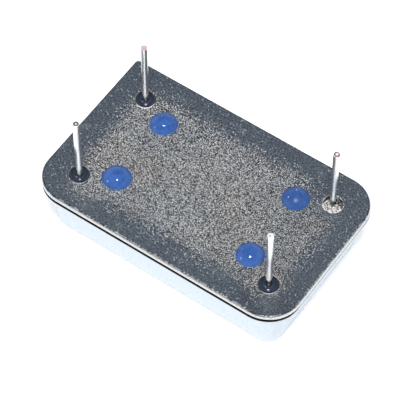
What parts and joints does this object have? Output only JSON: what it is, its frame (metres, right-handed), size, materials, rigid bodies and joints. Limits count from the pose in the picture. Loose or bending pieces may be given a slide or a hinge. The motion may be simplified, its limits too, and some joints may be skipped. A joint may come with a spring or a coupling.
{
  "type": "crystal oscillator",
  "caption": "Sealed metal-can crystal oscillator with wire leads in glass seals, blue stand-off beads and one square corner that marks the first lead.",
  "frame": {"origin": "centre of the lid's outer face, which is the side it lies on with the leads up", "axes": "+X along the can from the lead 1 end to the lead 7 end, +Y towards the leads 1 and 7 side, +Z towards the lead tips"},
  "size_m": [0.0202, 0.0126, 0.0106],
  "materials": {
    "plated_header": "fine blasted nickel plate with a smooth darker border",
    "plated_can": "bright drawn nickel plate",
    "plated_lead": "bright plated wire",
    "seal_glass": "opaque dark sealing glass, glossy",
    "braze_metal": "rough bright braze",
    "bead_blue": "opaque glossy blue glass",
    "board_ceramic": "fired white ceramic",
    "film_gold": "fired conductor film",
    "solder": "bright solder",
    "quartz": "polished quartz",
    "electrode_metal": "evaporated metal film",
    "clip_metal": "bent spring strip",
    "adhesive": "silver-filled adhesive",
    "silicon": "polished die",
    "wire_gold": "fine drawn wire",
    "capacitor_ceramic": "fired brown ceramic with metal ends"
  },
  "bodies": {
    "root": {"header_base": "plated_header", "cover_can": "plated_can", "pin_1": "plated_lead", "pin_7_ground": "plated_lead", "pin_8": "plated_lead", "pin_14": "plated_lead", "glass_seal_1": "seal_glass", "glass_seal_8": "seal_glass", "glass_seal_14": "seal_glass", "ground_braze_7": "braze_metal", "standoff_bead_1": "bead_blue", "standoff_bead_7": "bead_blue", "standoff_bead_8": "bead_blue", "standoff_bead_14": "bead_blue", "substrate_board": "board_ceramic", "film_conductors": "film_gold", "pin_solder_1": "solder", "pin_solder_7": "solder", "pin_solder_8": "solder", "pin_solder_14": "solder", "quartz_blank": "quartz", "electrode_upper": "electrode_metal", "electrode_lower": "electrode_metal", "crystal_clip_left": "clip_metal", "crystal_clip_right": "clip_metal", "crystal_bond_left": "adhesive", "crystal_bond_right": "adhesive", "oscillator_ic": "silicon", "bond_wires": "wire_gold", "bypass_capacitor": "capacitor_ceramic"}
  },
  "joints": []
}
